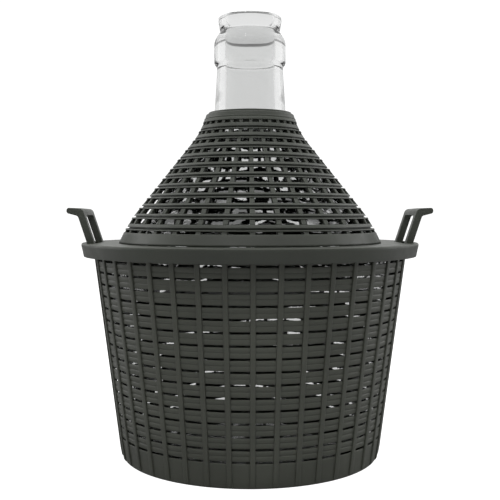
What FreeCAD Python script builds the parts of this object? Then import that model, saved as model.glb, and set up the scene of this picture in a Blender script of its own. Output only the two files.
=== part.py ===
"""Glass carboy in a moulded plastic basket with a conical lattice lid.

Frame: +Z up, origin at the centre of the basket's underside, handles at +X and -X. Millimetres and degrees.
The glass stands on the basket's floor. The lid's flange rests on the basket's rim, its skirt hangs outside the
rim, and the basket's two handles pass through slots in the flange.
"""
import FreeCAD, Part
import math
import os
import re
import Sketcher

# Driving dimensions: alias, value, what it is.
SIZES = {
    # basket
    "basket_height": (248.2, "underside to top of rim"),
    "basket_top_radius": (184.5, "outer face of the slats at the rim's top"),
    "basket_bottom_radius": (150.9, "outer face of the slats at the underside"),
    "wall_thickness": (2.2, "slats and bands, measured horizontally"),
    "foot_height": (4.0, "hollow under the floor"),
    "foot_width": (16.0, "ring that the basket stands on"),
    "floor_thickness": (3.0, ""),
    "heel_radius": (3.0, "rounded lower edge of the base"),
    "base_height": (27.4, "plain band above the underside"),
    "top_band": (11.8, "plain band under the rim"),
    "slot_rows": (16.0, "rows of slots in the wall"),
    "slot_height": (2.4, ""),
    "rib_count": (40.0, "upright ribs around the wall"),
    "rib_width": (5.7, ""),
    "rib_depth": (1.6, "how far a rib stands out from the slats"),
    "rib_foot": (1.0, "lower ends of the ribs above the underside"),
    "rib_foot_bend": (4.0, "rounding of those ends"),
    "rim_overhang": (9.9, "rim beyond the slats"),
    "rim_thickness": (3.0, ""),
    "rim_lip_thickness": (2.0, ""),
    "rim_lip_depth": (8.0, "turned-down edge of the rim"),
    # handles
    "handle_inset": (13.6, "inner face of a leg behind the rim's edge"),
    "handle_leg": (8.2, "leg thickness, measured horizontally"),
    "handle_leg_width": (11.0, "leg width across the pull"),
    "handle_width": (74.0, "outside of one leg to outside of the other"),
    "handle_lean": (18.6, "outward lean of the legs from vertical"),
    "handle_height": (44.0, "rim to top of the grip"),
    "handle_reach": (32.6, "inner face of a leg at the rim to tip of the grip"),
    "grip_thickness": (6.6, ""),
    "grip_rise": (3.4, "rise of the grip from its root to its tip"),
    "grip_edge": (3.0, "rounding of the tip"),
    "handle_bend": (5.0, "rounding between leg and grip"),
    # lid
    "flange_thickness": (2.5, ""),
    "flange_edge": (1.6, "rounding of the upper edge"),
    "skirt_height": (15.4, ""),
    "skirt_taper": (2.7, "how far the skirt leans in"),
    "skirt_gap": (0.6, "rim to the skirt's lower edge"),
    "skirt_thickness": (2.2, ""),
    "lid_setback": (28.5, "cone's foot inside the basket's top"),
    "lid_foot_taper": (12.7, "corner between the cone's foot and its flank, inside the foot"),
    "lid_knee_height": (27.0, "above the flange"),
    "throat_flare": (8.8, "corner between flank and throat, beyond the cone's top"),
    "lid_throat_height": (127.1, "above the flange"),
    "lid_neck_height": (146.2, "collar's underside above the flange"),
    "lid_knee_bend": (200.0, "large arc at the knee"),
    "lid_throat_bend": (150.0, "large arc at the throat"),
    "lid_wall": (4.0, "rings of the cone, measured horizontally"),
    "bar_count": (32.0, "bars behind the rings"),
    "bar_width": (5.2, ""),
    "bar_recess": (1.6, "bar behind the face of the rings, horizontally"),
    "bar_depth": (3.6, "bar thickness, horizontally"),
    "lid_slot_rows": (12.0, "rows of slots in the cone"),
    "lid_slot_height": (4.6, ""),
    "lid_slot_start": (13.9, "middle of the lowest row above the flange"),
    "lid_slot_end": (140.4, "middle of the highest row above the flange"),
    "collar_height": (8.7, ""),
    "collar_width": (5.2, "collar's top edge, from bore to outside"),
    "collar_flare": (2.2, "collar's foot beyond its top"),
    "collar_edge": (3.2, "rounded shoulder of the collar"),
    # glass
    "glass_thickness": (5.0, "body wall"),
    "side_clearance": (5.0, "glass to basket wall"),
    "lid_clearance": (13.0, "glass shoulder to the inside of the cone, horizontally"),
    "glass_heel_bend": (34.0, "rounding between base and side"),
    "shoulder_bend": (80.0, "rounding between side and cone"),
    "neck_root_bend": (55.0, "rounding between cone and neck"),
    "punt_height": (12.0, "hollow pushed up in the base"),
    "punt_radius": (96.0, "hollow's edge"),
    "punt_top_radius": (52.8, "flat top of the hollow"),
    "punt_bend": (48.0, "rounding of the hollow's top"),
    "neck_height": (272.8, "mouth above the rim of the basket"),
    "bore_radius": (29.5, "mouth and neck"),
    "neck_root_radius": (44.4, "neck where it leaves the cone"),
    "neck_waist_radius": (39.7, "under the ring"),
    "neck_ring_radius": (43.2, "swelling below the lip"),
    "neck_ring_height": (42.7, ""),
    "ring_foot_slope": (4.0, "height over which the ring swells"),
    "ring_foot_bend": (7.0, ""),
    "ring_straight": (31.5, "height at which the ring starts to draw in"),
    "ring_bend": (18.0, "rounding there"),
    "groove_radius": (35.2, "between the ring and the lip"),
    "groove_height": (1.4, ""),
    "groove_bend": (1.0, "rounding at the groove's bottom"),
    "lip_radius": (38.0, "outside of the lip at its top"),
    "lip_foot_radius": (36.2, "outside of the lip at its foot"),
    "lip_height": (16.6, ""),
    "lip_foot_bend": (1.4, "rounding of the lip's lower edge"),
    "lip_edge": (4.6, "rounded outer edge of the mouth"),
    "mouth_edge": (2.8, "rounded inner edge of the mouth"),
    # fits
    "collar_clearance": (3.0, "collar to the neck"),
    "slot_clearance": (1.2, "flange slot around a handle"),
}

# Sizes that follow from the driving ones.
DERIVED = {
    "taper": "(basket_top_radius - basket_bottom_radius) / basket_height",
    "floor_top": "foot_height + floor_thickness",
    "base_radius": "basket_bottom_radius + taper * base_height",
    "wall_end": "basket_height - rim_thickness",
    "wall_end_radius": "basket_bottom_radius + taper * wall_end",
    "slot_start": "base_height + slot_height / 2",
    "slot_end": "wall_end - top_band - slot_height / 2",
    "slot_pitch": "(slot_end - slot_start) / (slot_rows - 1)",
    "rim_radius": "wall_end_radius + rim_overhang",
    "handle_foot": "rim_radius - handle_inset",
    "lean": "tan(handle_lean * 1deg)",
    "flange_top": "basket_height + flange_thickness",
    "skirt_foot": "flange_top - skirt_height",
    "skirt_foot_radius": "rim_radius + skirt_gap + skirt_thickness",
    "flange_radius": "skirt_foot_radius + skirt_taper",
    "lid_base_radius": "basket_top_radius - lid_setback",
    "lid_knee_radius": "lid_base_radius - lid_foot_taper",
    "knee_z": "flange_top + lid_knee_height",
    "throat_z": "flange_top + lid_throat_height",
    "collar_foot": "flange_top + lid_neck_height",
    "collar_bore": "neck_root_radius + collar_clearance",
    "collar_radius": "collar_bore + collar_width",
    "lid_neck_radius": "collar_radius + collar_flare",
    "lid_throat_radius": "lid_neck_radius + throat_flare",
    "flank_slope": "(lid_knee_radius - lid_throat_radius) / (lid_throat_height - lid_knee_height)",
    "mouth": "basket_height + neck_height",
    "lip_foot": "mouth - lip_height",
    "ring_top": "lip_foot - groove_height",
    "ring_foot": "ring_top - neck_ring_height",
    "glass_side_foot": "basket_bottom_radius + taper * floor_top - wall_thickness - side_clearance",
    "glass_flank": "lid_knee_radius - lid_wall - lid_clearance",
    "shoulder_z": "knee_z - (glass_side_foot + taper * (knee_z - floor_top) - glass_flank)"
    " / (taper + flank_slope)",
    "shoulder_radius": "glass_side_foot + taper * (shoulder_z - floor_top)",
    "neck_root_z": "knee_z + (glass_flank - neck_root_radius) / flank_slope",
    "inner_root_z": "knee_z + (glass_flank - glass_thickness - bore_radius) / flank_slope",
}

doc = FreeCAD.newDocument("glass_carboy")
sheet = doc.addObject("Spreadsheet::Sheet", "Sizes")
for row, (alias, (size, meaning)) in enumerate(SIZES.items(), start=1):
    sheet.set(f"A{row}", alias)
    sheet.set(f"B{row}", str(size))
    sheet.set(f"C{row}", meaning)
    sheet.setAlias(f"B{row}", alias)
doc.recompute()


def bound(text):
    """An expression in the names above, written out for the expression engine."""

    def spell(found):
        name = found.group(0)
        if name in SIZES:
            return f"<<Sizes>>.{name}"
        if name in DERIVED:
            return f"({bound(DERIVED[name])})"
        return name

    return re.sub(r"[a-z][a-z0-9_]*", spell, str(text))


def value(text):
    """The number that such an expression gives now."""
    result = sheet.evalExpression(bound(text))
    return float(getattr(result, "Value", result))


def new_body(label):
    body = doc.addObject("PartDesign::Body", label)
    body.Label = label
    body.AllowCompound = True
    return body


def plane(body, role):
    return next(item for item in body.Origin.OriginFeatures if item.Role == role)


def new_sketch(body, name, role):
    sketch = body.newObject("Sketcher::SketchObject", f"{body.Name}_{name}")
    sketch.AttachmentSupport = [(plane(body, role), "")]
    sketch.MapMode = "FlatFace"
    return sketch


def fix(sketch, geometry, end, x_text, y_text):
    """Ties a point of the sketch to the sheet, measured from the sketch's origin."""
    for kind, text in (("DistanceX", x_text), ("DistanceY", y_text)):
        index = sketch.addConstraint(Sketcher.Constraint(kind, -1, 1, geometry, end, value(text)))
        sketch.setExpression(f"Constraints[{index}]", bound(text))


def outline(sketch, corners):
    """Closed outline through corners (x, y) or (x, y, rounding), all of them expressions.

    A rounded corner is an arc tangent to both sides; its sharp corner stays as a construction point.
    """
    count = len(corners)
    points = [FreeCAD.Vector(value(corner[0]), value(corner[1]), 0) for corner in corners]
    rounded = [len(corner) > 2 for corner in corners]
    cuts, radii, free = [0.0] * count, [0.0] * count, [True] * count
    for i in range(count):
        if not rounded[i]:
            continue
        back = points[i - 1] - points[i]
        ahead = points[(i + 1) % count] - points[i]
        half_turn = (math.pi - back.getAngle(ahead)) / 2
        room = min(
            back.Length / (2 if rounded[i - 1] else 1),
            ahead.Length / (2 if rounded[(i + 1) % count] else 1),
        )
        widest = 0.98 * room / math.tan(half_turn)
        wanted = value(corners[i][2])
        free[i] = wanted <= widest
        radii[i] = min(wanted, widest)
        cuts[i] = radii[i] * math.tan(half_turn)

    def toward(i, j):
        step = points[j] - points[i]
        return points[i] + step * (cuts[i] / step.Length)

    sides = []
    for i in range(count):
        j = (i + 1) % count
        sides.append(sketch.addGeometry(Part.LineSegment(toward(i, j), toward(j, i)), False))
    for i, corner in enumerate(corners):
        before, after = sides[i - 1], sides[i]
        if not rounded[i]:
            sketch.addConstraint(Sketcher.Constraint("Coincident", before, 2, after, 1))
            fix(sketch, after, 1, corner[0], corner[1])
            continue
        start, end = toward(i, (i - 1) % count), toward(i, (i + 1) % count)
        inward = ((start - points[i]).normalize() + (end - points[i]).normalize()).normalize()
        half_turn = math.atan2(cuts[i], radii[i])
        centre = points[i] + inward * (radii[i] / math.cos(half_turn))
        spokes = [start - centre, end - centre]
        forward = spokes[0].cross(spokes[1]).z > 0
        low, high = [math.atan2(spoke.y, spoke.x) for spoke in (spokes if forward else spokes[::-1])]
        circle = Part.Circle(centre, FreeCAD.Vector(0, 0, 1), radii[i])
        arc = sketch.addGeometry(Part.ArcOfCircle(circle, low, high + (math.tau if high < low else 0)), False)
        ends = (1, 2) if forward else (2, 1)
        sketch.addConstraint(Sketcher.Constraint("Tangent", before, 2, arc, ends[0]))
        sketch.addConstraint(Sketcher.Constraint("Tangent", arc, ends[1], after, 1))
        sharp = sketch.addGeometry(Part.Point(points[i]), True)
        fix(sketch, sharp, 1, corner[0], corner[1])
        sketch.addConstraint(Sketcher.Constraint("PointOnObject", sharp, 1, before))
        sketch.addConstraint(Sketcher.Constraint("PointOnObject", sharp, 1, after))
        radius = sketch.addConstraint(Sketcher.Constraint("Radius", arc, radii[i]))
        if free[i]:
            sketch.setExpression(f"Constraints[{radius}]", bound(corner[2]))


def revolve(body, name, corners, kind="Revolution"):
    """Turns an outline in the XZ plane once round the Z axis; kind Groove removes it instead."""
    sketch = new_sketch(body, f"{name}_outline", "XZ_Plane")
    outline(sketch, corners)
    turned = body.newObject(f"PartDesign::{kind}", f"{body.Name}_{name}")
    turned.Profile = sketch
    turned.ReferenceAxis = (sketch, ["V_Axis"])
    turned.Angle = 360.0
    turned.Refine = False
    body.Tip = turned
    return turned


def upright(body, name, corners, width, count):
    """A flat bar with this outline in the XZ plane, repeated evenly round the Z axis."""
    sketch = new_sketch(body, f"{name}_outline", "XZ_Plane")
    outline(sketch, corners)
    bar = body.newObject("PartDesign::Pad", f"{body.Name}_{name}")
    bar.Profile = sketch
    bar.Midplane = True
    bar.setExpression("Length", bound(width))
    bar.Refine = False
    doc.recompute()
    ring = body.newObject("PartDesign::PolarPattern", f"{body.Name}_{name}_ring")
    ring.Originals = [bar]
    ring.Axis = (plane(body, "Z_Axis"), [""])
    ring.Angle = 360.0
    ring.setExpression("Occurrences", bound(count))
    ring.Refine = False
    body.Tip = ring
    return ring


def slot_rows(body, name, first, last, rows, height, inner, outer):
    """Cuts level rows of slots right round a wall: one flat ring, repeated upwards."""
    low, high = f"({first}) - ({height}) / 2", f"({first}) + ({height}) / 2"
    cut = revolve(body, name, [(inner, low), (outer, low), (outer, high), (inner, high)], "Groove")
    doc.recompute()
    rows_up = body.newObject("PartDesign::LinearPattern", f"{body.Name}_{name}_rows")
    rows_up.Originals = [cut]
    rows_up.Direction = (plane(body, "Z_Axis"), [""])
    rows_up.setExpression("Length", bound(f"({last}) - ({first})"))
    rows_up.setExpression("Occurrences", bound(rows))
    rows_up.Refine = False
    body.Tip = rows_up
    return rows_up


def basket_base():
    """Floor, foot ring and plain lower band, with the lower ends of the ribs."""
    body = new_body("basket_base")
    inner_band = "base_radius - wall_thickness"
    inner_floor = "basket_bottom_radius + taper * floor_top - wall_thickness"
    revolve(body, "cup", [
        ("0", "foot_height"),
        ("basket_bottom_radius - foot_width", "foot_height"),
        ("basket_bottom_radius - foot_width", "0"),
        ("basket_bottom_radius", "0", "heel_radius"),
        ("base_radius", "base_height"),
        (inner_band, "base_height"),
        (inner_floor, "floor_top"),
        ("0", "floor_top"),
    ])
    upright(body, "rib", [
        ("basket_bottom_radius - heel_radius", "rib_foot"),
        ("basket_bottom_radius + rib_depth", "rib_foot", "rib_foot_bend"),
        ("base_radius + rib_depth", "base_height"),
        ("base_radius - wall_thickness / 2", "base_height"),
    ], "rib_width", "rib_count")
    return body


def basket_wall():
    """Conical wall of level slats joined by upright ribs."""
    body = new_body("basket_wall")
    revolve(body, "shell", [
        ("base_radius - wall_thickness", "base_height"),
        ("base_radius", "base_height"),
        ("wall_end_radius", "wall_end"),
        ("wall_end_radius - wall_thickness", "wall_end"),
    ])
    slot_rows(body, "slots", "slot_start", "slot_end", "slot_rows", "slot_height",
              "base_radius / 2", "rim_radius")
    upright(body, "rib", [
        ("base_radius - wall_thickness / 2", "base_height"),
        ("base_radius + rib_depth", "base_height"),
        ("wall_end_radius + rib_depth", "wall_end"),
        ("wall_end_radius - wall_thickness / 2", "wall_end"),
    ], "rib_width", "rib_count")
    return body


def basket_rim():
    """Flat rim that carries the lid and the handles, with its edge turned down."""
    body = new_body("basket_rim")
    lip_radius = "rim_radius - rim_lip_thickness"
    revolve(body, "ring", [
        ("wall_end_radius - wall_thickness", "wall_end"),
        (lip_radius, "wall_end"),
        (lip_radius, "wall_end - rim_lip_depth"),
        ("rim_radius", "wall_end - rim_lip_depth"),
        ("rim_radius", "basket_height"),
        ("wall_end_radius - wall_thickness", "basket_height"),
    ])
    return body


def handle(label, side):
    """Bent strip with a finger window: two legs leaning outwards and a level grip. side is 1 or -1."""
    body = new_body(label)
    grip_top = "basket_height + handle_height"
    grip_root = f"{grip_top} - grip_rise - grip_thickness"
    tip = "handle_foot + handle_reach"
    places = [
        ("handle_foot", "basket_height"),
        ("handle_foot + handle_leg", "basket_height"),
        (f"handle_foot + handle_leg + lean * ({grip_root} - basket_height)", grip_root, "handle_bend"),
        (tip, f"{grip_top} - grip_thickness", "grip_edge"),
        (tip, grip_top, "grip_edge"),
        (f"handle_foot + lean * ({grip_top} - grip_rise / 2 - basket_height)", f"{grip_top} - grip_rise / 2",
         "handle_bend"),
    ]
    sketch = new_sketch(body, "side_outline", "XZ_Plane")
    outline(sketch, [(f"{side} * ({place[0]})", *place[1:]) for place in places])
    strip = body.newObject("PartDesign::Pad", f"{label}_strip")
    strip.Profile = sketch
    strip.Midplane = True
    strip.setExpression("Length", bound("handle_width"))
    doc.recompute()
    gap = "handle_width / 2 - handle_leg_width"
    window = new_sketch(body, "window_outline", "YZ_Plane")
    below = "basket_height - handle_leg_width"
    outline(window, [
        (f"-({gap})", below),
        (gap, below),
        (gap, grip_root, "handle_bend"),
        (f"-({gap})", grip_root, "handle_bend"),
    ])
    opening = body.newObject("PartDesign::Pocket", f"{label}_window")
    opening.Profile = window
    opening.Type = "ThroughAll"
    opening.Midplane = True
    body.Tip = opening
    return body


def lid_flange():
    """Flat ring with a hanging skirt and a slot on each side for a handle."""
    body = new_body("lid_flange")
    inner = "lid_base_radius - lid_wall"
    revolve(body, "ring", [
        (inner, "basket_height"),
        ("flange_radius - skirt_thickness", "basket_height"),
        ("skirt_foot_radius - skirt_thickness", "skirt_foot"),
        ("skirt_foot_radius", "skirt_foot"),
        ("flange_radius", "flange_top", "flange_edge"),
        (inner, "flange_top"),
    ])
    doc.recompute()
    slots = new_sketch(body, "slot_outlines", "XY_Plane")
    near = "handle_foot - slot_clearance"
    far = "handle_foot + handle_leg + lean * flange_thickness + slot_clearance"
    half = "handle_width / 2 + slot_clearance"
    for side in (1, -1):
        outline(slots, [
            (f"{side} * ({near})", f"-({half})"),
            (f"{side} * ({far})", f"-({half})"),
            (f"{side} * ({far})", half),
            (f"{side} * ({near})", half),
        ])
    cut = body.newObject("PartDesign::Pocket", "lid_flange_slots")
    cut.Profile = slots
    cut.Type = "ThroughAll"
    cut.Midplane = True
    body.Tip = cut
    return body


def cone_line(shift):
    """Points of the cone's outline from foot to neck, moved towards the axis by an expression."""
    return [
        (f"lid_base_radius - ({shift})", "flange_top"),
        (f"lid_knee_radius - ({shift})", "knee_z", "lid_knee_bend"),
        (f"lid_throat_radius - ({shift})", "throat_z", "lid_throat_bend"),
        (f"lid_neck_radius - ({shift})", "collar_foot"),
    ]


def lid_cone():
    """Witch-hat cone of level rings joined by bars that stand behind their face."""
    body = new_body("lid_cone")
    revolve(body, "shell", cone_line("0") + cone_line("lid_wall")[::-1])
    slot_rows(body, "slots", "flange_top + lid_slot_start", "flange_top + lid_slot_end", "lid_slot_rows",
              "lid_slot_height", "bore_radius / 2", "lid_base_radius + lid_wall")
    upright(body, "bar", cone_line("bar_recess") + cone_line("bar_recess + bar_depth")[::-1],
            "bar_width", "bar_count")
    return body


def lid_collar():
    """Plain band round the neck, with a rounded shoulder and a thin inner edge."""
    body = new_body("lid_collar")
    top = "collar_foot + collar_height"
    revolve(body, "ring", [
        ("lid_neck_radius - lid_wall", "collar_foot"),
        ("lid_neck_radius", "collar_foot"),
        ("collar_radius", top, "collar_edge"),
        ("collar_bore", top),
        ("collar_bore", f"{top} - wall_thickness"),
    ])
    return body


def glass_carboy():
    """Blown glass body that follows the basket and the cone, with a heavy neck and lip."""
    body = new_body("glass_carboy")
    inner_floor = "floor_top + glass_thickness"
    inner_foot = "glass_side_foot - glass_thickness + taper * glass_thickness"
    punt_top = "floor_top + punt_height"
    revolve(body, "shape", [
        ("0", punt_top),
        ("punt_top_radius", punt_top, "punt_bend"),
        ("punt_radius", "floor_top", "punt_height"),
        ("glass_side_foot", "floor_top", "glass_heel_bend"),
        ("shoulder_radius", "shoulder_z", "shoulder_bend"),
        ("neck_root_radius", "neck_root_z", "neck_root_bend"),
        ("neck_waist_radius", "ring_foot"),
        ("neck_ring_radius", "ring_foot + ring_foot_slope", "ring_foot_bend"),
        ("neck_ring_radius", "ring_foot + ring_straight", "ring_bend"),
        ("groove_radius", "ring_top", "groove_bend"),
        ("groove_radius", "lip_foot", "groove_bend"),
        ("lip_foot_radius", "lip_foot", "lip_foot_bend"),
        ("lip_radius", "mouth", "lip_edge"),
        ("bore_radius", "mouth", "mouth_edge"),
        ("bore_radius", "inner_root_z", "neck_root_bend"),
        ("shoulder_radius - glass_thickness", "shoulder_z", "shoulder_bend - glass_thickness"),
        (inner_foot, inner_floor, "glass_heel_bend - glass_thickness"),
        ("punt_radius", inner_floor, "punt_height"),
        ("punt_top_radius", f"{punt_top} + glass_thickness", "punt_bend"),
        ("0", f"{punt_top} + glass_thickness"),
    ])
    return body


pieces = [
    basket_base(),
    basket_wall(),
    basket_rim(),
    handle("handle_left", -1),
    handle("handle_right", 1),
    glass_carboy(),
    lid_flange(),
    lid_cone(),
    lid_collar(),
]
doc.recompute()

for item in doc.Objects:
    if {"Invalid", "Error"} & set(item.State):
        raise RuntimeError(f"{item.Label} failed: {item.State} {item.getStatusString()}")
for piece in pieces:
    if piece.Shape.isNull() or not piece.Shape.isValid():
        raise RuntimeError(f"{piece.Label} has no valid shape")

os.makedirs("parts", exist_ok=True)
for piece in pieces:
    piece.Shape.exportStep(f"parts/{piece.Label}.step")
    box = piece.Shape.BoundBox
    print(
        f"{piece.Label}: {len(piece.Shape.Solids)} solid(s), {piece.Shape.Volume / 1000:.1f} cm3,"
        f" z {box.ZMin:.1f} to {box.ZMax:.1f}, radius {max(box.XMax, -box.XMin):.1f}"
    )
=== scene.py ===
"""Looks of the glass carboy in its plastic basket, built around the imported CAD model.

Metres, +Z up, in the CAD frame. Outlines are drawn in the (radius, height) plane, then turned round Z.
"""

import math
import random

import bmesh
import bpy
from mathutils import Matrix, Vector


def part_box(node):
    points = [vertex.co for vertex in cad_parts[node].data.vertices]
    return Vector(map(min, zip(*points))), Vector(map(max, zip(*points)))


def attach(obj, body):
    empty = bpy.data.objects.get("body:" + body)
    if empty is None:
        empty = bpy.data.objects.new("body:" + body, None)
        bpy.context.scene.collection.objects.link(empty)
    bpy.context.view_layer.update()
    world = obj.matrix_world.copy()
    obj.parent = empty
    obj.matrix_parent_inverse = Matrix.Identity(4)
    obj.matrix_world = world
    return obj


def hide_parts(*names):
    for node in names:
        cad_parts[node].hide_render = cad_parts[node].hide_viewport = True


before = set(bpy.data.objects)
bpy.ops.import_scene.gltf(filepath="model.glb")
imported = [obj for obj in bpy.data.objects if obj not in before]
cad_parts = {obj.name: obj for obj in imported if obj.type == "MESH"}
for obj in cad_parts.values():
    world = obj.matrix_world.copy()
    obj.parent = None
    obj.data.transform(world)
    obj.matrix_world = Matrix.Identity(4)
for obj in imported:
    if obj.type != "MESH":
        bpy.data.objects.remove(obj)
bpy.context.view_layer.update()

MM = 0.001

# What the frame gives.
BASE_LOW, BASE_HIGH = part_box("basket_base")
WALL_LOW, WALL_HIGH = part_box("basket_wall")
RIM_LOW, RIM_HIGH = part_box("basket_rim")
GRIP_LOW, GRIP_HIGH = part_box("handle_right")
GLASS_LOW, GLASS_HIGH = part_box("glass_carboy")
FLANGE_LOW, FLANGE_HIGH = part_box("lid_flange")
CONE_LOW, CONE_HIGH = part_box("lid_cone")
COLLAR_LOW, COLLAR_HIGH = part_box("lid_collar")

# Basket.
WALL = 2.2 * MM
RIBS = 40
RIB_WIDTH = 5.7 * MM
RIB_DEPTH = 1.6 * MM
RIB_FOOT = 1.0 * MM
SLOT_ROWS = 16
SLOT = 2.4 * MM
TOP_BAND = 11.8 * MM
BASE_TOP = BASE_HIGH.z
WALL_TOP = WALL_HIGH.z
WALL_TOP_RADIUS = WALL_HIGH.x - RIB_DEPTH
BASE_TOP_RADIUS = BASE_HIGH.x - RIB_DEPTH
TAPER = (WALL_TOP_RADIUS - BASE_TOP_RADIUS) / (WALL_TOP - BASE_TOP)
SLOT_FIRST = BASE_TOP + SLOT / 2
SLOT_PITCH = (WALL_TOP - TOP_BAND - SLOT / 2 - SLOT_FIRST) / (SLOT_ROWS - 1)
RIM_RADIUS = RIM_HIGH.x
RIM_TOP = RIM_HIGH.z

# Handles.
LEG = 8.2 * MM
LEAN = math.tan(math.radians(18.6))

# Lid.
FLANGE_TOP = FLANGE_HIGH.z
FLANGE_RADIUS = FLANGE_HIGH.y
FLANGE_THICKNESS = FLANGE_TOP - RIM_TOP
CONE_WALL = 4.0 * MM
KNEE_TAPER, KNEE_HEIGHT = 12.7 * MM, 27.0 * MM
THROAT_FLARE, THROAT_HEIGHT = 8.8 * MM, 127.1 * MM
RING_DEPTH = 6.0 * MM  # rings reach further in than the plain bands
BAR_DEPTH = 6.5 * MM
CONE_BARS = 32
CONE_ROWS = 12
CONE_SLOTS = [2.8 * MM] + [5.6 * MM] * 5 + [(5.3 - 0.38 * k) * MM for k in range(6)]  # from the flange up
RIDGE = 0.8 * MM  # how far the rings' lower ridges stand out from their bands and the bars
CONE_FIRST = FLANGE_TOP + 13.9 * MM
CONE_LAST = FLANGE_TOP + 140.4 * MM
CONE_PITCH = (CONE_LAST - CONE_FIRST) / (CONE_ROWS - 1)
COLLAR_FOOT = COLLAR_LOW.z
COLLAR_TOP = COLLAR_HIGH.z
COLLAR_RADIUS = COLLAR_HIGH.x

# Glass.
GLASS_WALL = 5.0 * MM
SIDE_CLEARANCE = 5.0 * MM  # glass to the basket's wall
LID_CLEARANCE = 13.0 * MM  # glass to the inside of the cone

TURN = 256  # steps round the axis of a turned piece
GLASS_TURN = 224
FLANGE_TURN = 320


# ---------------------------------------------------------------- shapes

def new_piece(name, points, faces, material, smooth=True):
    mesh = bpy.data.meshes.new(name)
    mesh.from_pydata(points, [], faces)
    mesh.validate()
    mesh.update()
    piece = bpy.data.objects.new(name, mesh)
    bpy.context.scene.collection.objects.link(piece)
    mesh.materials.append(material)
    if smooth:
        for face in mesh.polygons:
            face.use_smooth = True
    return piece


def soften(corners, step=math.radians(15), closed=True):
    """Corners (x, y) or (x, y, radius) as a line in which each radius is an arc tangent to both sides."""
    count = len(corners)
    line = []
    for i, corner in enumerate(corners):
        here = Vector(corner[:2])
        ends = not closed and i in (0, count - 1)
        if len(corner) < 3 or corner[2] <= 0 or ends:
            line.append(here)
            continue
        back = Vector(corners[i - 1][:2]) - here
        ahead = Vector(corners[(i + 1) % count][:2]) - here
        inside = back.angle(ahead)
        turn = math.pi - inside
        room = min(back.length, ahead.length) * 0.49
        cut = min(corner[2] * math.tan(turn / 2), room)
        radius = cut / math.tan(turn / 2)
        middle = here + (back.normalized() + ahead.normalized()).normalized() * (radius / math.cos(turn / 2))
        start = here + back.normalized() * cut - middle
        end = here + ahead.normalized() * cut - middle
        steps = max(2, math.ceil(turn / step))
        side = 1 if start.x * end.y - start.y * end.x > 0 else -1
        first = math.atan2(start.y, start.x)
        for k in range(steps + 1):
            angle = first + side * turn * k / steps
            line.append(middle + radius * Vector((math.cos(angle), math.sin(angle))))
    return line


def refine(line, longest, closed=True):
    """Adds points on long sides, so that a surface can wave and shade evenly."""
    result = []
    count = len(line)
    for i in range(count if closed else count - 1):
        start, end = line[i], line[(i + 1) % count]
        steps = max(1, math.ceil((end - start).length / longest))
        result += [start.lerp(end, k / steps) for k in range(steps)]
    return result if closed else result + [line[-1]]


def lathe_mesh(outlines, steps=TURN):
    """Closed (radius, height) outlines turned round Z."""
    points, faces = [], []
    for outline in outlines:
        first = len(points)
        rows = len(outline)
        for k in range(steps):
            angle = math.tau * k / steps
            points += [(x * math.cos(angle), x * math.sin(angle), z) for x, z in outline]
        for k in range(steps):
            here = first + k * rows
            there = first + (k + 1) % steps * rows
            for i in range(rows):
                j = (i + 1) % rows
                faces.append((here + i, there + i, there + j, here + j))
    return points, outward(outlines[0], faces)


def outward(outline, faces):
    """Faces turned so that their normals leave the material, whichever way round the outline was drawn."""
    area = sum(a.x * b.y - b.x * a.y for a, b in zip(outline, outline[1:] + outline[:1]))
    return faces if area > 0 else [face[::-1] for face in faces]


def capped_lathe(name, line, material, steps=TURN):
    """An open (radius, height) line whose two ends lie on the axis, turned into a closed body."""
    points, faces = [], []
    inner = line[1:-1]
    rows = len(inner)
    for k in range(steps):
        angle = math.tau * k / steps
        points += [(x * math.cos(angle), x * math.sin(angle), z) for x, z in inner]
    points += [(0, 0, line[0].y), (0, 0, line[-1].y)]
    low, high = len(points) - 2, len(points) - 1
    for k in range(steps):
        here, there = k * rows, (k + 1) % steps * rows
        faces.append((low, there, here))
        faces += [(here + i, there + i, there + i + 1, here + i + 1) for i in range(rows - 1)]
        faces.append((here + rows - 1, there + rows - 1, high))
    area = sum(a.x * b.y - b.x * a.y for a, b in zip(line, line[1:] + line[:1]))
    if area < 0:
        faces = [face[::-1] for face in faces]
    return new_piece(name, points, faces, material)


def bar_points(path, widths, depth, corner, angle, flute):
    """One upright bar: path is its outer line (radius, height), its back lies depth nearer the axis.

    A flute depth above 0 adds two fine grooves down its face.
    """
    points = []
    across = Vector((-math.sin(angle), math.cos(angle)))
    out = Vector((math.cos(angle), math.sin(angle)))
    for (x, z), width in zip(path, widths):
        face = []
        if flute:
            for groove in (width / 6, -width / 6):
                face += [(groove + flute, 0), (groove, -flute), (groove - flute, 0)]
        ring = soften([
            (-width / 2, -depth),
            (width / 2, -depth),
            (width / 2, 0, corner),
            *face,
            (-width / 2, 0, corner),
        ], step=math.radians(30))
        for side, n in ring:
            flat = out * (x + n) + across * side
            points.append((flat.x, flat.y, z))
    return points, len(ring)


def bars(name, runs, depth, corner, count, material, phase=0.0, uneven=0.0, seed=1, flute=0.0):
    """Bars all round as one piece, each a little out of place; a bar is one or more runs (path, widths)."""
    chance = random.Random(seed)
    points, faces = [], []
    for b in range(count):
        angle = phase + math.tau * b / count + chance.uniform(-uneven, uneven)
        for path, widths in runs:
            first = len(points)
            some, ring = bar_points(path, widths, depth, corner, angle, flute)
            points += some
            for i in range(len(path) - 1):
                here, there = first + i * ring, first + (i + 1) * ring
                for j in range(ring):
                    k = (j + 1) % ring
                    faces.append((here + j, here + k, there + k, there + j))
            faces.append(tuple(first + j for j in range(ring))[::-1])
            last = first + (len(path) - 1) * ring
            faces.append(tuple(last + j for j in range(ring)))
    return new_piece(name, points, faces, material)


def shade_by_angle(piece, degrees=40):
    """Smooth shading that stays crisp at edges sharper than this."""
    mesh = piece.data
    for face in mesh.polygons:
        face.use_smooth = True
    mesh.set_sharp_from_angle(angle=math.radians(degrees))
    return piece


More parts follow.
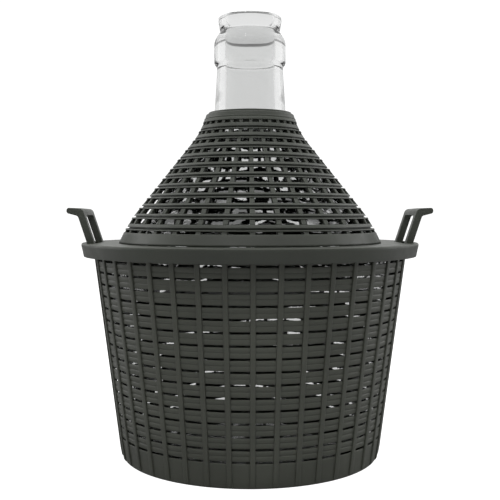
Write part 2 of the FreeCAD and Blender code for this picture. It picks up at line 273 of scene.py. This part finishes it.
def applied(piece):
    """Bakes the piece's modifiers into its mesh."""
    bpy.context.view_layer.update()
    graph = bpy.context.evaluated_depsgraph_get()
    mesh = bpy.data.meshes.new_from_object(piece.evaluated_get(graph))
    piece.modifiers.clear()
    piece.data = mesh
    return piece


def block(name, outline, low, high, turn=False):
    """An outline in the XZ plane made solid from y = low to y = high; turn draws it in the YZ plane."""
    count = len(outline)
    points = []
    for depth in (low, high):
        points += [(depth, x, z) if turn else (x, depth, z) for x, z in outline]
    faces = [tuple(range(count)), tuple(range(2 * count - 1, count - 1, -1))]
    faces += [(i, i + count, (i + 1) % count + count, (i + 1) % count) for i in range(count)]
    piece = new_piece(name, points, faces, plain_cutter, smooth=False)
    work = bmesh.new()
    work.from_mesh(piece.data)
    bmesh.ops.recalc_face_normals(work, faces=work.faces)
    work.to_mesh(piece.data)
    work.free()
    return piece


def only_material(piece, material):
    """Drops what a cutter brought along."""
    piece.data.materials.clear()
    piece.data.materials.append(material)


def carve(piece, cutter):
    """Takes the cutter's shape out of the piece."""
    cut = piece.modifiers.new("cut", "BOOLEAN")
    cut.operation = "DIFFERENCE"
    cut.solver = "EXACT"
    cut.object = cutter
    applied(piece)
    bpy.data.objects.remove(cutter)
    return piece


# ---------------------------------------------------------------- materials

def graph_of(name):
    material = bpy.data.materials.new(name)
    material.use_nodes = True
    nodes, links = material.node_tree.nodes, material.node_tree.links
    return material, nodes, links, nodes["Principled BSDF"]


def noise(nodes, links, place, scale, detail=4.0, roughness=0.55, stretch=None):
    """Noise in the object's own metres, stretched along an axis if asked."""
    if stretch:
        mapping = nodes.new("ShaderNodeMapping")
        mapping.inputs["Scale"].default_value = stretch
        links.new(place, mapping.inputs["Vector"])
        place = mapping.outputs["Vector"]
    texture = nodes.new("ShaderNodeTexNoise")
    texture.inputs["Scale"].default_value = scale
    texture.inputs["Detail"].default_value = detail
    texture.inputs["Roughness"].default_value = roughness
    links.new(place, texture.inputs["Vector"])
    return texture.outputs["Fac"]


def spread(nodes, links, source, low, high, start=0.3, end=0.7):
    """Maps a noise value onto low to high."""
    node = nodes.new("ShaderNodeMapRange")
    node.inputs["From Min"].default_value = start
    node.inputs["From Max"].default_value = end
    node.inputs["To Min"].default_value = low
    node.inputs["To Max"].default_value = high
    links.new(source, node.inputs["Value"])
    return node.outputs["Result"]


def combine(nodes, links, operation, first, second):
    """A math node on two sockets."""
    node = nodes.new("ShaderNodeMath")
    node.operation = operation
    links.new(first, node.inputs[0])
    links.new(second, node.inputs[1])
    return node.outputs[0]


def blend_colours(nodes, links, share, first, second):
    node = nodes.new("ShaderNodeMix")
    node.data_type = "RGBA"
    for socket, source in ((node.inputs[0], share), (node.inputs[6], first), (node.inputs[7], second)):
        if isinstance(source, (tuple, float)):
            socket.default_value = source
        else:
            links.new(source, socket)
    return node.outputs[2]


def bump(nodes, links, height, distance, strength=1.0, after=None):
    node = nodes.new("ShaderNodeBump")
    node.inputs["Distance"].default_value = distance
    node.inputs["Strength"].default_value = strength
    links.new(height, node.inputs["Height"])
    if after is not None:
        links.new(after, node.inputs["Normal"])
    return node.outputs["Normal"]


def moulded_plastic(name, tone, reeded=False, shine=0.46, worn=1.25):
    """Semi-matte moulded polypropylene: flow marks, fine grain, rubbed edges."""
    material, nodes, links, shader = graph_of(name)
    place = nodes.new("ShaderNodeTexCoord").outputs["Object"]
    dark = tuple(c * 0.86 for c in tone) + (1.0,)
    light = tuple(c * 1.14 for c in tone) + (1.0,)
    rubbed = tuple(c * worn + 0.006 for c in tone) + (1.0,)
    flow = spread(nodes, links, noise(nodes, links, place, 11.0, 5.0), 0.0, 1.0)
    colour = blend_colours(nodes, links, flow, dark, light)
    speck = spread(nodes, links, noise(nodes, links, place, 620.0, 2.0), 0.0, 0.35, 0.45, 0.75)
    colour = blend_colours(nodes, links, speck, colour, light)
    edges = nodes.new("ShaderNodeNewGeometry").outputs["Pointiness"]
    rub_noise = noise(nodes, links, place, 90.0, 4.0)
    rubs = combine(nodes, links, "MULTIPLY", spread(nodes, links, edges, 0.0, 1.0, 0.51, 0.6),
                   spread(nodes, links, rub_noise, 0.1, 1.0, 0.35, 0.65))
    colour = blend_colours(nodes, links, rubs, colour, rubbed)
    links.new(colour, shader.inputs["Base Color"])
    rough = spread(nodes, links, noise(nodes, links, place, 60.0, 5.0), shine - 0.06, shine + 0.08)
    links.new(rough, shader.inputs["Roughness"])
    shader.inputs["IOR"].default_value = 1.47
    waves = bump(nodes, links, noise(nodes, links, place, 34.0, 2.0), 0.25 * MM, 0.5)
    grain = bump(nodes, links, noise(nodes, links, place, 1500.0, 3.0), 0.05 * MM, 0.6, waves)
    if reeded:
        reeds = noise(nodes, links, place, 1.0, 3.0, 0.6, stretch=(22.0, 22.0, 780.0))
        grain = bump(nodes, links, reeds, 0.22 * MM, 0.8, grain)
    links.new(grain, shader.inputs["Normal"])
    return material


def clear_glass(name):
    """Blown soda glass, clear with a faint grey, with slow waves and a few fine cords in it."""
    material, nodes, links, shader = graph_of(name)
    place = nodes.new("ShaderNodeTexCoord").outputs["Object"]
    shader.inputs["Base Color"].default_value = (0.87, 0.875, 0.872, 1.0)
    shader.inputs["Transmission Weight"].default_value = 1.0
    shader.inputs["IOR"].default_value = 1.5
    rough = spread(nodes, links, noise(nodes, links, place, 40.0, 3.0), 0.0, 0.03, 0.45, 0.8)
    links.new(rough, shader.inputs["Roughness"])
    slow = bump(nodes, links, noise(nodes, links, place, 26.0, 2.0), 0.8 * MM, 0.35)
    cords = noise(nodes, links, place, 1.0, 3.0, 0.5, stretch=(90.0, 90.0, 22.0))
    links.new(bump(nodes, links, cords, 0.3 * MM, 0.35, slow), shader.inputs["Normal"])
    return material


def pale_floor(name):
    """White to the eye; to the object's own light it is a calmer grey, so that nothing is lit from below."""
    material, nodes, links, shader = graph_of(name)
    place = nodes.new("ShaderNodeTexCoord").outputs["Object"]
    tone = spread(nodes, links, noise(nodes, links, place, 3.0, 2.0), 0.0, 1.0)
    colour = blend_colours(nodes, links, tone, (0.30, 0.30, 0.30, 1.0), (0.34, 0.34, 0.34, 1.0))
    links.new(colour, shader.inputs["Base Color"])
    shader.inputs["Roughness"].default_value = 0.9
    shader.inputs["Specular IOR Level"].default_value = 0.0
    shader.inputs["Emission Color"].default_value = WHITE
    rays = nodes.new("ShaderNodeLightPath").outputs
    through_glass = spread(nodes, links, rays["Is Transmission Ray"], 0.0, 0.5, 0.0, 1.0)
    seen = combine(nodes, links, "MAXIMUM", rays["Is Camera Ray"], through_glass)
    links.new(seen, shader.inputs["Emission Strength"])
    return material


WHITE = (1.0, 1.0, 1.0, 1.0)
# One plastic in two copies. The basket's tone is lighter: painted light that offsets the shade between its
# ribs. The darker tone goes on the lid, the basket's rim and the handles: painted shade for the skirt and
# the handles.
LIGHTENED_BASKET_TONE = (0.056, 0.060, 0.048)
SHADED_TONE = (0.038, 0.042, 0.034)

plain_cutter = bpy.data.materials.new("cutter")
basket_plain = moulded_plastic("basket_plastic", LIGHTENED_BASKET_TONE)
basket_reeded = moulded_plastic("basket_reeds", LIGHTENED_BASKET_TONE, reeded=True)
rim_plain = moulded_plastic("rim_plastic", SHADED_TONE)
lid_plain = moulded_plastic("lid_plastic", SHADED_TONE, shine=0.44)
lid_ringed = moulded_plastic("lid_rings", SHADED_TONE, reeded=True, shine=0.44)
glass = clear_glass("clear_glass")


# ---------------------------------------------------------------- basket

def wall_radius(z):
    """Outer face of the slats at a height."""
    return BASE_TOP_RADIUS + TAPER * (z - BASE_TOP)


def on_wall(corners):
    """Corners (out, z[, radius]), out measured from the wall's outer face, as (radius, z[, radius])."""
    return [(wall_radius(corner[1]) + corner[0], *corner[1:]) for corner in corners]


def slat_outline(low, high):
    """A slat: two shallow reeds with a groove between them, rounded edges, flat back."""
    reed, groove, edge = 0.4 * MM, 0.3 * MM, 0.4 * MM
    middle = (low + high) / 2
    corners = [(-WALL, low, edge), (-0.45 * MM, low, edge)]
    for foot, top in ((low + 0.3 * MM, middle - 0.45 * MM), (middle + 0.45 * MM, high - 0.3 * MM)):
        steps = 4
        for k in range(steps + 1):
            share = k / steps
            crown = math.sin(math.pi * (0.12 + 0.76 * share))
            corners.append((reed * (crown - 1.0), foot + (top - foot) * share))
        if top < middle:
            corners.append((-groove - 0.35 * MM, middle))
    corners += [(-0.45 * MM, high, edge), (-WALL, high, edge)]
    return soften(on_wall(corners), step=math.radians(45))


def basket_slats():
    outlines = []
    for row in range(SLOT_ROWS - 1):
        low = SLOT_FIRST + row * SLOT_PITCH + SLOT / 2
        outlines.append(slat_outline(low, low + SLOT_PITCH - SLOT))
    return new_piece("basket_slats", *lathe_mesh(outlines), basket_reeded)


def basket_top_band():
    low = WALL_TOP - TOP_BAND
    edge = 0.6 * MM
    outline = soften(on_wall([
        (-WALL, low, edge), (-0.2 * MM, low, edge), (-0.2 * MM, WALL_TOP), (-WALL, WALL_TOP),
    ]))
    return new_piece("basket_top_band", *lathe_mesh([refine(outline, 3 * MM)]), basket_plain)


def basket_cup():
    """Floor, foot ring and the plain lower band, one closed turned body."""
    foot, floor = 4.0 * MM, 7.0 * MM
    radius = wall_radius(0.0)
    ring = 16.0 * MM
    line = soften([
        (0, foot),
        (radius - ring, foot, 1.0 * MM),
        (radius - ring, 0, 1.0 * MM),
        (radius - 0.4 * MM, 0, 3.2 * MM),
        (wall_radius(BASE_TOP), BASE_TOP, 0.6 * MM),
        (wall_radius(BASE_TOP) - WALL, BASE_TOP, 0.6 * MM),
        (wall_radius(floor) - WALL, floor, 2.0 * MM),
        (0, floor),
    ], closed=False)
    return capped_lathe("basket_cup", refine(line, 6 * MM, closed=False), basket_plain)


def basket_ribs():
    """Upright ribs from the foot to the rim, their lower ends rounded in under the band."""
    bend = 4.0 * MM
    embed = RIB_DEPTH + WALL * 0.6
    path = [
        (wall_radius(RIB_FOOT) + RIB_DEPTH - bend + bend * math.sin(angle),
         RIB_FOOT + bend - bend * math.cos(angle))
        for angle in [math.radians(a) for a in (8, 25, 40, 55, 70, 85)]
    ]
    top = WALL_TOP + 0.3 * MM
    steps = 30
    start = RIB_FOOT + bend
    heights = [start + (top - start) * k / steps for k in range(1, steps + 1)]
    path += [(wall_radius(z) + RIB_DEPTH, z) for z in heights]
    widths = [RIB_WIDTH * (0.9 + 0.1 * min(1.0, i / 5)) for i in range(len(path))]
    return bars("basket_ribs", [(path, widths)], embed, 0.8 * MM, RIBS, basket_plain, uneven=0.0006, seed=7)


def basket_rim():
    lip, edge = 2.0 * MM, 0.8 * MM
    inner = WALL_TOP_RADIUS - WALL
    low = RIM_LOW.z
    plate = WALL_TOP
    outline = soften([
        (inner, plate, 0.4 * MM),
        (RIM_RADIUS - lip, plate, 0.8 * MM),
        (RIM_RADIUS - lip, low, 0.6 * MM),
        (RIM_RADIUS, low, 0.6 * MM),
        (RIM_RADIUS, RIM_TOP, edge),
        (inner, RIM_TOP, 0.6 * MM),
    ])
    return new_piece("basket_rim_ring", *lathe_mesh([refine(outline, 4 * MM)]), rim_plain)


def basket_handle(name, side):
    """Bent strip with a finger window, softened all along its edges."""
    grip, rise = 6.6 * MM, 3.4 * MM
    foot = GRIP_LOW.x
    tip, top = GRIP_HIGH.x, GRIP_HIGH.z + 0.2 * MM
    root = top - rise - grip
    start = RIM_TOP
    back_top = top - rise / 2
    profile = soften([
        (foot, start),
        (foot + LEG, start),
        (foot + LEG + LEAN * (root - start), root, 3.5 * MM),
        (tip, top - grip, 3.0 * MM),
        (tip, top - 0.2 * MM, 3.0 * MM),
        (foot + LEAN * (back_top - start), back_top, 6.0 * MM),
    ], step=math.radians(10))
    half = GRIP_HIGH.y
    piece = block(name, [(side * x, z) for x, z in profile], -half, half)
    gap = half - 11.0 * MM
    past = 20 * MM  # how far the cutter reaches beyond the handle
    window = soften([
        (-gap, start - past),
        (gap, start - past),
        (gap, root + 1.0 * MM, 4.0 * MM),
        (-gap, root + 1.0 * MM, 4.0 * MM),
    ], step=math.radians(10))
    near, far = sorted((side * (foot - past), side * (tip + past)))
    carve(piece, block("window", window, near, far, turn=True))
    only_material(piece, rim_plain)
    rounding = piece.modifiers.new("rounding", "BEVEL")
    rounding.width = 1.7 * MM
    rounding.segments = 4
    rounding.limit_method = "ANGLE"
    rounding.angle_limit = math.radians(50)
    applied(piece)
    return shade_by_angle(piece)


# ---------------------------------------------------------------- lid

CONE_FOOT_RADIUS = CONE_HIGH.x
CONE_CORNERS = [
    (CONE_FOOT_RADIUS, FLANGE_TOP),
    (CONE_FOOT_RADIUS - KNEE_TAPER, FLANGE_TOP + KNEE_HEIGHT, 200 * MM),
    (COLLAR_RADIUS + THROAT_FLARE, FLANGE_TOP + THROAT_HEIGHT, 150 * MM),
    (COLLAR_RADIUS, COLLAR_FOOT),
]
CONE_LINE = soften(CONE_CORNERS, step=math.radians(1), closed=False)


def cone_radius(z):
    """Outer face of the cone at a height."""
    for low, high in zip(CONE_LINE, CONE_LINE[1:]):
        if z <= high.y:
            return low.x + (high.x - low.x) * (z - low.y) / (high.y - low.y)
    return CONE_LINE[-1].x


def on_cone(corners):
    return [(cone_radius(corner[1]) + corner[0], *corner[1:]) for corner in corners]


def ring_outline(low, high):
    """A ring of the cone: a sloping band above, a groove, and a thin ridge that stands proud below."""
    ridge = 1.5 * MM
    groove = 2.0 * MM
    deep = 3.6 * MM
    corners = [
        (-RING_DEPTH, low, 0.5 * MM),
        (0.0, low, 0.5 * MM),
        (0.0, low + ridge, 0.5 * MM),
        (-deep, low + ridge + 0.1 * MM),
        (-deep, low + ridge + groove),
        (-RIDGE, low + ridge + groove, 0.35 * MM),
        (-RIDGE, high, 0.7 * MM),
        (-RING_DEPTH, high, 0.5 * MM),
    ]
    return soften(on_cone(corners), step=math.radians(30))


def lid_rings():
    outlines = []
    for row in range(CONE_ROWS - 1):
        low = CONE_FIRST + row * CONE_PITCH + CONE_SLOTS[row] / 2
        high = CONE_FIRST + (row + 1) * CONE_PITCH - CONE_SLOTS[row + 1] / 2
        outlines.append(ring_outline(low, high))
    return new_piece("lid_rings", *lathe_mesh(outlines), lid_ringed)


def lid_foot_band():
    """Plain band between the flange and the lowest slots."""
    top = CONE_FIRST - CONE_SLOTS[0] / 2
    outline = soften(on_cone([
        (-CONE_WALL, FLANGE_TOP), (0.0, FLANGE_TOP), (-0.1 * MM, top, 0.9 * MM), (-CONE_WALL, top, 0.6 * MM),
    ]))
    return new_piece("lid_foot_band", *lathe_mesh([refine(outline, 3 * MM)]), lid_plain)


def lid_neck_band():
    """Plain band above the highest slots, under the collar, with a lip that hangs behind those slots."""
    low = CONE_LAST + CONE_SLOTS[-1] / 2
    near, far = 5.0 * MM, 6.4 * MM
    tip = CONE_LAST - CONE_SLOTS[-1] / 2 - 0.4 * MM
    outline = soften(on_cone([
        (-near, low), (0.0, low, 0.5 * MM), (0.0, COLLAR_FOOT), (-far, COLLAR_FOOT),
        (-far, tip, 0.5 * MM), (-near, tip, 0.5 * MM),
    ]))
    return new_piece("lid_neck_band", *lathe_mesh([refine(outline, 3 * MM)]), lid_plain)


def lid_bars():
    """Bars across each row of slots, flush with the band below, narrower towards the neck."""
    wide, narrow = 5.8 * MM, 3.9 * MM
    runs = []
    for row, slot in enumerate(CONE_SLOTS):
        middle = CONE_FIRST + row * CONE_PITCH
        low, high = middle - slot / 2 - 0.9 * MM, middle + slot / 2 + 0.7 * MM
        heights = [low + (high - low) * k / 4 for k in range(5)]
        width = wide + (narrow - wide) * row / (CONE_ROWS - 1)
        runs.append(([(cone_radius(z) - RIDGE - 0.05 * MM, z) for z in heights], [width] * 5))
    return bars("lid_bars", runs, BAR_DEPTH, 0.6 * MM, CONE_BARS, lid_plain,
                phase=math.pi / 2, uneven=0.002, seed=3, flute=0.6 * MM)


def lid_collar():
    top = COLLAR_TOP
    bore = 47.4 * MM
    shoulder = COLLAR_RADIUS - 2.2 * MM
    outline = soften([
        (COLLAR_RADIUS - CONE_WALL, COLLAR_FOOT, 0.3 * MM),
        (COLLAR_RADIUS, COLLAR_FOOT, 0.6 * MM),
        (COLLAR_RADIUS, COLLAR_FOOT + 1.1 * MM, 0.4 * MM),
        (COLLAR_RADIUS - 0.9 * MM, COLLAR_FOOT + 1.6 * MM, 0.4 * MM),
        (shoulder, top - 2.6 * MM, 1.4 * MM),
        (shoulder - 2.0 * MM, top - 1.9 * MM, 0.5 * MM),
        (shoulder - 2.4 * MM, top - 2.6 * MM),
        (shoulder - 2.9 * MM, top - 2.0 * MM, 0.2 * MM),
        (shoulder - 2.9 * MM, top, 0.5 * MM),
        (bore, top, 0.4 * MM),
        (bore, top - WALL, 0.4 * MM),
    ])
    return new_piece("lid_collar_ring", *lathe_mesh([refine(outline, 3 * MM)]), lid_plain)


def lid_flange():
    """Flat ring with a rolled edge and a hanging skirt, open where the handles pass."""
    inner = CONE_FOOT_RADIUS - CONE_WALL
    skirt = WALL
    taper = 2.7 * MM
    low = FLANGE_LOW.z
    outline = soften([
        (inner, RIM_TOP, 0.4 * MM),
        (FLANGE_RADIUS - skirt - 0.2 * MM, RIM_TOP, 0.8 * MM),
        (FLANGE_RADIUS - taper - skirt, low, 0.5 * MM),
        (FLANGE_RADIUS - taper, low, 0.5 * MM),
        (FLANGE_RADIUS, FLANGE_TOP - 2.9 * MM, 0.6 * MM),
        (FLANGE_RADIUS, FLANGE_TOP, 1.7 * MM),
        (FLANGE_RADIUS - 3.6 * MM, FLANGE_TOP, 1.2 * MM),
        (FLANGE_RADIUS - 4.6 * MM, FLANGE_TOP - 0.5 * MM, 0.8 * MM),
        (inner, FLANGE_TOP - 0.5 * MM, 0.5 * MM),
    ], step=math.radians(12))
    piece = new_piece("lid_flange_ring", *lathe_mesh([refine(outline, 6 * MM)], FLANGE_TURN), lid_plain)
    room = 1.2 * MM
    near = GRIP_LOW.x - room
    far = GRIP_LOW.x + LEG + LEAN * FLANGE_THICKNESS + room
    half = GRIP_HIGH.y + room
    for side in (1, -1):
        low_x, high_x = sorted((side * near, side * far))
        hole = [(low_x, low - MM), (high_x, low - MM), (high_x, FLANGE_TOP + MM), (low_x, FLANGE_TOP + MM)]
        carve(piece, block("slot", [Vector(corner) for corner in hole], -half, half))
    only_material(piece, lid_plain)
    return shade_by_angle(piece)


# ---------------------------------------------------------------- glass

def glass_unevenness(radius, angle, z):
    """Hand-made unevenness: slow swellings that fade out at the mouth and stay well inside the basket."""
    slow = math.sin(2 * angle + 9.0 * z) * 0.35 + math.sin(3 * angle - 31.0 * z + 1.3) * 0.3
    fine = math.sin(5 * angle + 47.0 * z) * 0.16 + math.sin(7 * angle - 83.0 * z + 0.4) * 0.1
    amount = min(1.0, radius / (120 * MM)) * 0.8 * MM
    return (slow + fine) * amount - amount * 0.4


def inner_unevenness(radius, angle, z):
    """The inside wanders more than the outside, which a mould shaped."""
    slow = math.sin(2 * angle - 33.0 * z + 2.0) * 0.5 + math.sin(4 * angle + 61.0 * z) * 0.4
    fine = math.sin(6 * angle - 118.0 * z + 0.7) * 0.32 + math.sin(11 * angle + 171.0 * z) * 0.16
    ripple = math.sin(9 * angle + 205.0 * z + 1.1) * 0.24
    calm = 0.45 if z < 0.2 else min(1.0, 0.45 + (z - 0.2) * 14)
    reach = min(1.0, max(0.0, (radius - 32 * MM) / (40 * MM)))  # none in the bore, full on the shoulder
    return (slow + fine + ripple * calm) * reach * calm * 0.9 * MM


def glass_body():
    """Outer and inner skin of the bottle as one closed turned body, mouth at the top."""
    wall = GLASS_WALL
    floor = GLASS_LOW.z
    mouth = GLASS_HIGH.z
    side_foot = wall_radius(floor) - WALL - SIDE_CLEARANCE
    slope = (CONE_CORNERS[1][0] - CONE_CORNERS[2][0]) / (CONE_CORNERS[2][1] - CONE_CORNERS[1][1])
    knee = CONE_CORNERS[1][1]
    flank = CONE_CORNERS[1][0] - CONE_WALL - LID_CLEARANCE
    shoulder_z = knee - (side_foot + TAPER * (knee - floor) - flank) / (TAPER + slope)
    shoulder = side_foot + TAPER * (shoulder_z - floor)
    neck, bore = 44.4 * MM, 29.5 * MM
    ring = 43.2 * MM
    root = knee + (flank - neck) / slope
    inner_root = knee + (flank - wall - bore) / slope
    lip_foot = mouth - 16.6 * MM
    ring_top = lip_foot - 1.4 * MM
    ring_foot = ring_top - 42.7 * MM
    punt, punt_edge, punt_top = 12.0 * MM, 96.0 * MM, 52.8 * MM
    corners = [
        (0, floor + punt),
        (punt_top, floor + punt, 48 * MM),
        (punt_edge, floor, 12 * MM),
        (side_foot, floor, 34 * MM),
        (shoulder, shoulder_z, 80 * MM),
        (neck, root, 55 * MM),
        (39.7 * MM, ring_foot, 6 * MM),
        (ring, ring_foot + 4.0 * MM, 7 * MM),
        (ring, ring_foot + 31.5 * MM, 18 * MM),
        (35.5 * MM, ring_top, 3.0 * MM),
        (35.2 * MM, (ring_top + lip_foot) / 2, 1.6 * MM),
        (36.2 * MM, lip_foot, 1.8 * MM),
        (38.0 * MM, mouth - 7.0 * MM, 12 * MM),
        (37.8 * MM, mouth, 3.2 * MM),
        (bore, mouth, 3.4 * MM),
        (bore, inner_root, 55 * MM),
        (shoulder - wall, shoulder_z, 75 * MM),
        (side_foot - wall + TAPER * wall, floor + wall, 29 * MM),
        (punt_edge, floor + wall, 12 * MM),
        (punt_top, floor + punt + wall, 48 * MM),
        (0, floor + punt + wall),
    ]
    line = refine(soften(corners, step=math.radians(8), closed=False), 7 * MM, closed=False)
    highest = max(range(len(line)), key=lambda i: line[i].y)
    piece = capped_lathe("glass_bottle", line, glass, steps=GLASS_TURN)
    rows = len(line) - 2
    for number, vertex in enumerate(piece.data.vertices[:-2]):
        place = number % rows + 1
        angle = math.tau * (number // rows) / GLASS_TURN
        radius = line[place].x
        shift = (inner_unevenness if place > highest else glass_unevenness)(radius, angle, line[place].y)
        fade = min(1.0, (mouth - line[place].y) / (12 * MM))
        radius += shift * fade
        vertex.co.x = radius * math.cos(angle)
        vertex.co.y = radius * math.sin(angle)
    piece.data.update()
    return piece


# ---------------------------------------------------------------- assembly

PIECES = [
    (basket_cup(), "basket", ["basket_base"], "basket_plastic"),
    (basket_slats(), "basket", ["basket_wall"], "basket_plastic"),
    (basket_top_band(), "basket", ["basket_wall"], "basket_plastic"),
    (basket_ribs(), "basket", ["basket_wall", "basket_base"], "basket_plastic"),
    (basket_rim(), "basket", ["basket_rim"], "basket_plastic"),
    (basket_handle("basket_handle_right", 1), "basket", ["handle_right"], "basket_plastic"),
    (basket_handle("basket_handle_left", -1), "basket", ["handle_left"], "basket_plastic"),
    (glass_body(), "carboy", ["glass_carboy"], "clear_glass"),
    (lid_flange(), "lid", ["lid_flange"], "lid_plastic"),
    (lid_foot_band(), "lid", ["lid_cone"], "lid_plastic"),
    (lid_rings(), "lid", ["lid_cone"], "lid_plastic"),
    (lid_neck_band(), "lid", ["lid_cone"], "lid_plastic"),
    (lid_bars(), "lid", ["lid_cone"], "lid_plastic"),
    (lid_collar(), "lid", ["lid_collar"], "lid_plastic"),
]
for piece, body, nodes_replaced, slot_name in PIECES:
    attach(piece, body)
    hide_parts(*nodes_replaced)
bpy.data.materials.remove(plain_cutter)


# ---------------------------------------------------------------- studio

def studio_floor():
    half, steps = 6.0, 24
    points = [(-half + 2 * half * i / steps, -half + 2 * half * j / steps, 0.0)
              for j in range(steps + 1) for i in range(steps + 1)]
    row = steps + 1
    faces = [(j * row + i, j * row + i + 1, (j + 1) * row + i + 1, (j + 1) * row + i)
             for j in range(steps) for i in range(steps)]
    floor = new_piece("studio_floor", points, faces, pale_floor("studio_floor"))


def soft_light(name, place, target, size, power, mirrored=True):
    light = bpy.data.lights.new(name, "AREA")
    light.shape = "RECTANGLE"
    light.size, light.size_y = size
    light.energy = power
    lamp = bpy.data.objects.new(name, light)
    bpy.context.scene.collection.objects.link(lamp)
    lamp.location = place
    lamp.rotation_euler = (Vector(target) - Vector(place)).to_track_quat("-Z", "Y").to_euler()
    lamp.visible_camera = False
    lamp.visible_transmission = False
    lamp.visible_glossy = mirrored


def studio_world():
    """White to the camera. As light it is softer, brighter above and behind, dark at the horizon behind."""
    world = bpy.data.worlds.new("studio")
    bpy.context.scene.world = world
    world.use_nodes = True
    nodes, links = world.node_tree.nodes, world.node_tree.links
    place = nodes.new("ShaderNodeTexCoord").outputs["Generated"]
    split = nodes.new("ShaderNodeSeparateXYZ")
    links.new(place, split.inputs[0])
    back = spread(nodes, links, split.outputs["Y"], 0.26, 0.86, -0.5, 0.5)
    above = spread(nodes, links, split.outputs["Z"], 0.0, 0.16, 0.05, 0.7)
    total = combine(nodes, links, "ADD", back, above)
    over_horizon = spread(nodes, links, split.outputs["Z"], 0.28, 1.0, 0.012, 0.052)
    in_front = spread(nodes, links, split.outputs["Y"], 1.0, 0.0, 0.2, 0.6)
    share = combine(nodes, links, "MAXIMUM", over_horizon, in_front)
    strength = combine(nodes, links, "MULTIPLY", total, share)
    light = nodes["Background"]
    light.inputs["Color"].default_value = WHITE
    links.new(strength, light.inputs["Strength"])
    white = nodes.new("ShaderNodeBackground")
    white.inputs["Color"].default_value = WHITE
    white.inputs["Strength"].default_value = 1.1
    mix = nodes.new("ShaderNodeMixShader")
    links.new(nodes.new("ShaderNodeLightPath").outputs["Is Camera Ray"], mix.inputs[0])
    links.new(light.outputs[0], mix.inputs[1])
    links.new(white.outputs[0], mix.inputs[2])
    links.new(mix.outputs[0], nodes["World Output"].inputs["Surface"])


def studio_camera():
    """Level camera a little above the flange; its shift frames the carboy as a catalogue picture does."""
    distance, height, swing = 1.055, 0.286, math.radians(1.0)
    camera = bpy.data.cameras.new("camera")
    camera.sensor_width = 36.0
    camera.lens = 63.14
    camera.shift_y = -0.0746
    camera.clip_end = 50.0
    eye = bpy.data.objects.new("camera", camera)
    bpy.context.scene.collection.objects.link(eye)
    eye.location = (-distance * math.sin(swing), -distance * math.cos(swing), height)
    eye.rotation_euler = (math.pi / 2, 0.0, -swing)
    bpy.context.scene.camera = eye


studio_floor()
studio_world()
soft_light("top_soft", (0.0, -0.5, 1.7), (0.0, 0.0, 0.2), (1.6, 1.6), 29.0, mirrored=False)
soft_light("left_side", (-1.8, 0.5, 0.6), (0.0, 0.0, 0.25), (1.2, 1.6), 7.0)
soft_light("right_side", (1.8, 0.5, 0.6), (0.0, 0.0, 0.25), (1.2, 1.6), 7.0)
soft_light("front_soft", (0.2, -3.2, 1.0), (0.0, 0.0, 0.2), (4.0, 2.4), 12.0, mirrored=False)
soft_light("window", (-0.4, -1.0, 1.85), (0.0, -0.03, 0.5), (0.035, 0.9), 1.7)
studio_camera()
bpy.context.scene.view_settings.view_transform = "Standard"
